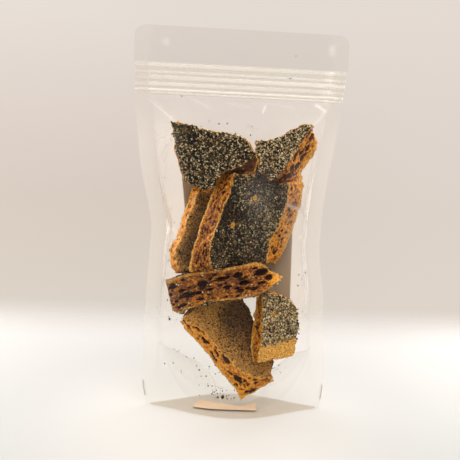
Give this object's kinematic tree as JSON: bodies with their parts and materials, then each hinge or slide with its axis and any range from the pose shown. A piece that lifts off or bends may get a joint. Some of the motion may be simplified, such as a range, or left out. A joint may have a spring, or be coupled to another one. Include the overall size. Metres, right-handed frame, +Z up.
{
  "type": "dalgona candy pouch",
  "caption": "Clear stand-up pouch with a press-to-close strip, filled with broken shards of dalgona honeycomb toffee coated with dark crumbs; plain stickers on back and base.",
  "frame": {"origin": "middle of the base that the pouch stands on", "axes": "+Z up towards the flat header, front panel faces -Y, +X to the right seen from the front"},
  "size_m": [0.1202, 0.0434, 0.222],
  "materials": {
    "clear_film": "clear glossy film",
    "back_label_paper": "matt paper",
    "base_label_paper": "matt paper"
  },
  "bodies": {
    "root": {"pouch": "clear_film", "back_label": "back_label_paper", "base_label": "base_label_paper"}
  },
  "joints": []
}
